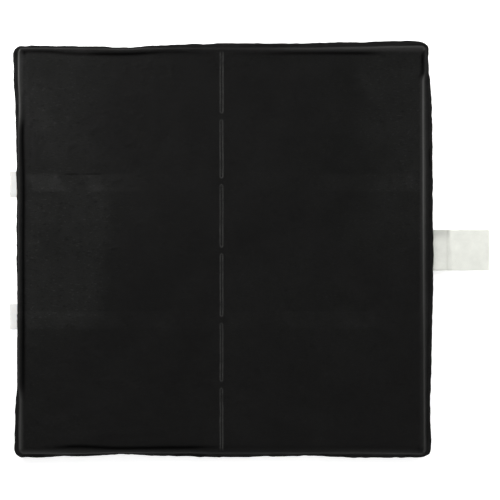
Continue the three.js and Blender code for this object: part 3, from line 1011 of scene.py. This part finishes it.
def strip_faces(count, wide):
    """The faces of a strip of wide lines of count points each, in two layers."""
    faces = []
    for layer in (0, 1):
        for i in range(wide - 1):
            for k in range(count - 1):
                a = (layer * wide + i) * count + k
                quad = (a, a + 1, a + count + 1, a + count)
                faces.append(quad if layer == 0 else quad[::-1])
    below = wide * count
    for k in range(count - 1):
        near, far = k, (wide - 1) * count + k
        faces.append((near, near + below, near + below + 1, near + 1))
        faces.append((far, far + 1, far + below + 1, far + below))
    for i in range(wide - 1):
        start, end = i * count, i * count + count - 1
        faces.append((start, start + count, start + count + below, start + below))
        faces.append((end, end + below, end + count + below, end + count))
    return faces


def strip_mesh(name, path, low, high, thickness, material, sway):
    """A closed strip: path is its middle line as (x, z) points, low and high are its edges in y, and
    thickness is one number or one for each point of the path."""
    lines = np.concatenate([[low], np.linspace(low + 0.2, high - 0.2, 20), [high]])
    points = strip_points(np.array(path, float), lines, thickness, sway)
    return new_object(name, points, strip_faces(len(path), len(lines)), material)


def ribbon_sway(x, y):
    """The ribbon's slight droop and twist beyond the flange."""
    out = np.clip((x - SHOULDER_X - 9) / 47, 0, 1.05)  # from 0 where it bends to 1 near its end
    across = y / RIBBON_HALF_WIDTH
    return out ** 2 * (-0.9 + 0.5 * across) + 0.22 * out * math.cos(2.2 * across)


def no_sway(x, y):
    return np.zeros_like(x)


def ribbon_path(middle, fold_end):
    """The ribbon's middle line, out from the weld and then back to fold_end, and its thickness along that.
    The folded end is pressed thin over its last 2 mm."""
    outer = TAB_HIGH[0]
    turn_x = outer - RIBBON_TURN - 0.25  # which leaves room for half its thickness
    path = [(x, middle) for x in np.linspace(TAB_ROOT_LOW[0], turn_x, 40)]
    for a in np.linspace(0, math.pi, 9)[1:-1]:
        path.append((turn_x + RIBBON_TURN * math.sin(a), middle + RIBBON_TURN - RIBBON_TURN * math.cos(a)))
    last = fold_end + np.array([1.5, 1.0, 0.5, 0.2, 0.0])
    back = np.concatenate([np.linspace(turn_x, fold_end + 2, 28), last])
    pressed = smooth((fold_end + 2 - back) / 2)
    settled = 0.5 * smooth((outer - back - 6) / 20)
    path += list(zip(back, middle + 2 * RIBBON_TURN - settled - 0.15 * pressed))
    shares = np.concatenate([np.ones(len(path) - len(back)), 1 - 0.7 * pressed])
    return path, RIBBON_THICKNESS * shares


def ribbon_shade(x, y, fold_end):
    """How much darker the ribbon's single layer is painted: partly for its thinner layer, partly as painted
    shade, the most towards its upper edge and along its lower edge.
    """
    single = 1 - smooth((x - fold_end - 0.6 + 0.06 * (y - TAB_HIGH[1])) / 3)
    edges = 0.6 * smooth((y - 7) / 9) + 0.55 * bump(y - TAB_LOW[1], 0.9)
    return single * (0.36 - 0.1 * smooth(-y / RIBBON_HALF_WIDTH) + edges)


def pull_ribbon(material):
    middle = (TAB_ROOT_LOW[2] + TAB_ROOT_HIGH[2]) / 2
    fold_end = TAB_HIGH[0] - RIBBON_FOLDED_BACK
    path, thickness = ribbon_path(middle, fold_end)
    low, high = TAB_LOW[1] - 0.1, TAB_HIGH[1] + 0.6
    made = strip_mesh("tab_ribbon", path, low, high, thickness, material, ribbon_sway)
    x, y = (np.array([v.co[i] for v in made.data.vertices]) / MM for i in (0, 1))
    add_masks(made, ["shaded"], ribbon_shade(x, y, fold_end)[:, None])
    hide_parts("pull_tab", "pull_tab_root")
    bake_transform(made)


def hook_strip(which, material):
    low, high = box_mm(f"{which}_strip")
    root_low, root_high = box_mm(f"{which}_strip_root")
    middle = (root_low[2] + root_high[2]) / 2
    path = [(x, middle) for x in np.linspace(root_high[0], low[0] - HOOK_STRIP_EXTRA, 18)]
    made = strip_mesh(
        f"{which}_hook_strip", path, low[1], high[1], HOOK_STRIP_THICKNESS, material, no_sway
    )
    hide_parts(f"{which}_strip", f"{which}_strip_root")
    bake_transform(made)


# ---------------------------------------------------------------- the whole object

black = nonwoven_black()
front_skin = fabric_cover("front_skin", 1, black, 100)
back_skin = fabric_cover("back_skin", -1, black, 300)
for skin, node in ((front_skin, "front_cover"), (back_skin, "back_cover")):
    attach(skin, "pad")
    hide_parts(node)

pull_ribbon(nonwoven_white())
hook_strip("upper", hook_plastic("hook_plastic", 0.62))
hook_strip("lower", hook_plastic("paler_hook_plastic", 0.74))

frame_strip = moulded_strip()
INNER_MATERIALS = {  # by a word in the node's name
    "rail": frame_strip,
    "rib": frame_strip,
    "spine": frame_strip,
    "honeycomb": honeycomb_wall(),
    "carbon": carbon_granules(),
    "net": scrim_net(),
}
for name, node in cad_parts.items():
    for word, material in INNER_MATERIALS.items():
        if word in name.split("_"):
            node.data.materials.clear()
            node.data.materials.append(material)
